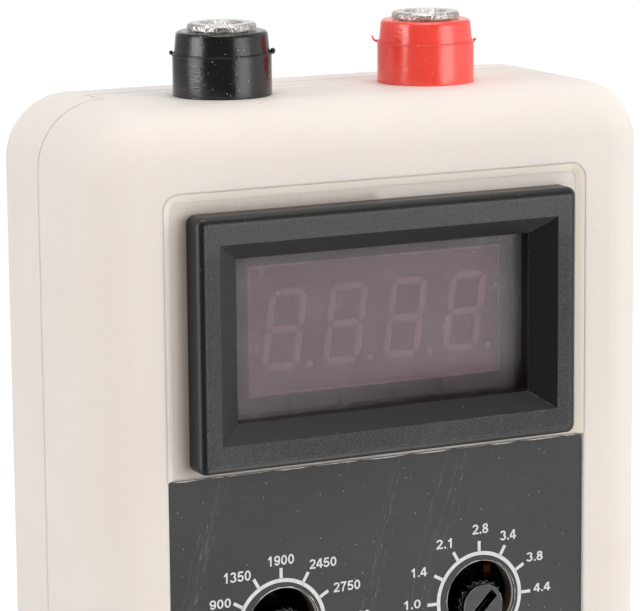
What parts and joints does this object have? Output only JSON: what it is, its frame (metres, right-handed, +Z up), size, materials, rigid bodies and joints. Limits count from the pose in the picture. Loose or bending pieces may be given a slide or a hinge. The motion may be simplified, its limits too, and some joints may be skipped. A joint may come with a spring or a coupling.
{
  "type": "semiconductor withstand voltage tester",
  "caption": "Handheld withstand voltage tester: two-shell housing, sunk label, panel voltmeter, banana sockets, screwdriver dials, test button and power rocker.",
  "frame": {"origin": "middle of the flat lower end face on which the tester stands", "axes": "+Z up along the housing's length, -Y out of the panel towards the user, +X to the user's right"},
  "size_m": [0.071, 0.034, 0.1432],
  "materials": {
    "housing_plastic": "fine moulded texture, warm white",
    "label_film": "dark grey printed film with white print",
    "black_plastic": "satin black",
    "bezel_plastic": "fine matt black",
    "filter_plastic": "smoked red acrylic",
    "display_plastic": "matt face under the filter",
    "segment_resin": "cast resin",
    "red_plastic": "satin red",
    "nickel": "plated, slightly dull",
    "steel": "zinc plated",
    "shaft_metal": "dull grey, turned",
    "board_laminate": "green solder mask",
    "charger_laminate": "blue solder mask",
    "component_black": "moulded epoxy",
    "component_mixed": "small ceramic parts",
    "disc_blue": "dipped blue coating",
    "phenolic": "brown laminate",
    "ferrite": "dark grey ferrite",
    "bobbin_plastic": "cream nylon",
    "winding_tape": "yellow polyester tape",
    "cell_foil": "laminated foil pouch",
    "foam_tape": "double-sided foam tape"
  },
  "bodies": {
    "housing": {"front_shell": "housing_plastic", "back_shell": "housing_plastic", "panel_label": "label_film", "meter_bezel": "bezel_plastic", "meter_window": "filter_plastic", "display_body": "display_plastic", "display_segments": "segment_resin", "meter_board": "board_laminate", "meter_parts": "component_black", "black_socket_body": "black_plastic", "red_socket_body": "red_plastic", "black_socket_contact": "nickel", "red_socket_contact": "nickel", "socket_nuts": "nickel", "socket_lugs": "nickel", "main_board": "board_laminate", "left_pot_base": "phenolic", "right_pot_base": "phenolic", "left_pot_cover": "steel", "right_pot_cover": "steel", "transformer_core": "ferrite", "transformer_bobbin": "bobbin_plastic", "transformer_winding": "winding_tape", "hv_capacitors": "disc_blue", "electrolytic_capacitor": "component_black", "hv_diodes": "component_black", "driver_chip": "component_black", "power_transistor": "component_black", "board_small_parts": "component_mixed", "test_button_body": "black_plastic", "test_button_spring": "steel", "test_button_nut": "nickel", "power_switch_body": "black_plastic", "charge_board": "charger_laminate", "charge_socket": "nickel", "charge_parts": "component_black", "battery_cell": "cell_foil", "battery_tape": "foam_tape", "housing_screws": "steel", "board_screws": "steel"},
    "left_dial": {"left_pot_shaft": "shaft_metal"},
    "right_dial": {"right_pot_shaft": "shaft_metal"},
    "test_button": {"test_button_cap": "red_plastic"},
    "power_rocker": {"power_rocker": "black_plastic"}
  },
  "joints": [
    {"name": "left_dial_turn", "type": "hinge", "parent": "housing", "child": "left_dial", "pos_m": [-0.01246, 0, 0.0745], "axis": [0, 1, 0], "range_deg": [-150, 150]},
    {"name": "right_dial_turn", "type": "hinge", "parent": "housing", "child": "right_dial", "pos_m": [0.01314, 0, 0.0745], "axis": [0, 1, 0], "range_deg": [-150, 150]},
    {"name": "test_button_press", "type": "slide", "parent": "housing", "child": "test_button", "axis": [0, 1, 0], "range_m": [0, 0.002], "stiffness_N_per_m": 400, "springref_m": -0.001, "deforming": ["test_button_spring"]},
    {"name": "power_rocker_tilt", "type": "hinge", "parent": "housing", "child": "power_rocker", "pos_m": [0.0128, -0.01335, 0.045], "axis": [-1, 0, 0], "range_deg": [0, 18]}
  ]
}
